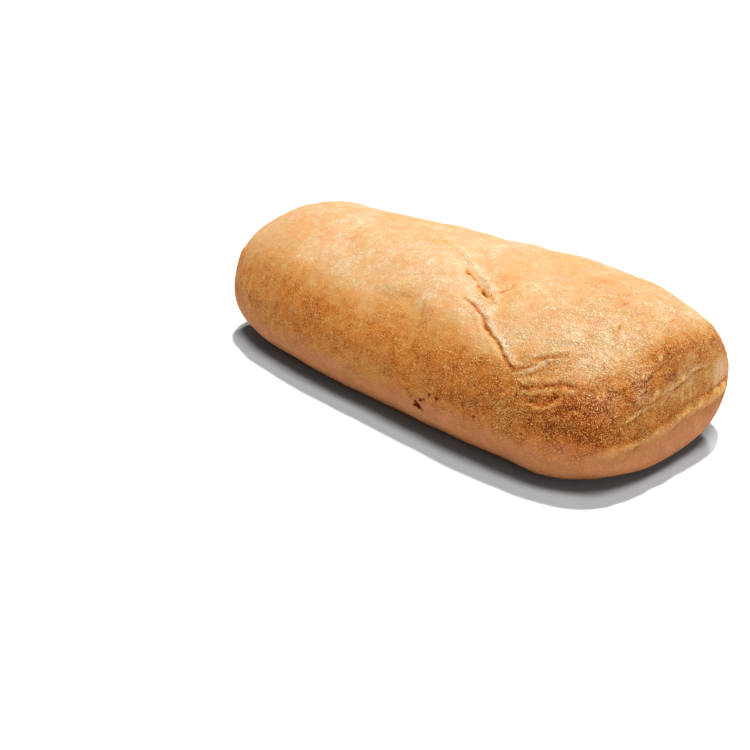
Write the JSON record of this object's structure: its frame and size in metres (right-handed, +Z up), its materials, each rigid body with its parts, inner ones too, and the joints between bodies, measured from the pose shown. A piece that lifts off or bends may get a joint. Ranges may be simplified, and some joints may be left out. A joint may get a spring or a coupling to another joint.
{
  "type": "sourdough loaf",
  "caption": "Whole hearth-baked oblong sourdough loaf with a diagonal slash across its crown, a creased blunt end and a flat base to rest on.",
  "frame": {"origin": "on the resting surface, under the middle of the loaf's bounding box", "axes": "+X along the loaf towards its broader end, +Y across it to the back, +Z up"},
  "size_m": [0.273, 0.1312, 0.0773],
  "materials": {
    "crust": "golden baked crust, satin, finely blistered, paler along the foot and in the opened slash"
  },
  "bodies": {
    "root": {"loaf": "crust"}
  },
  "joints": []
}
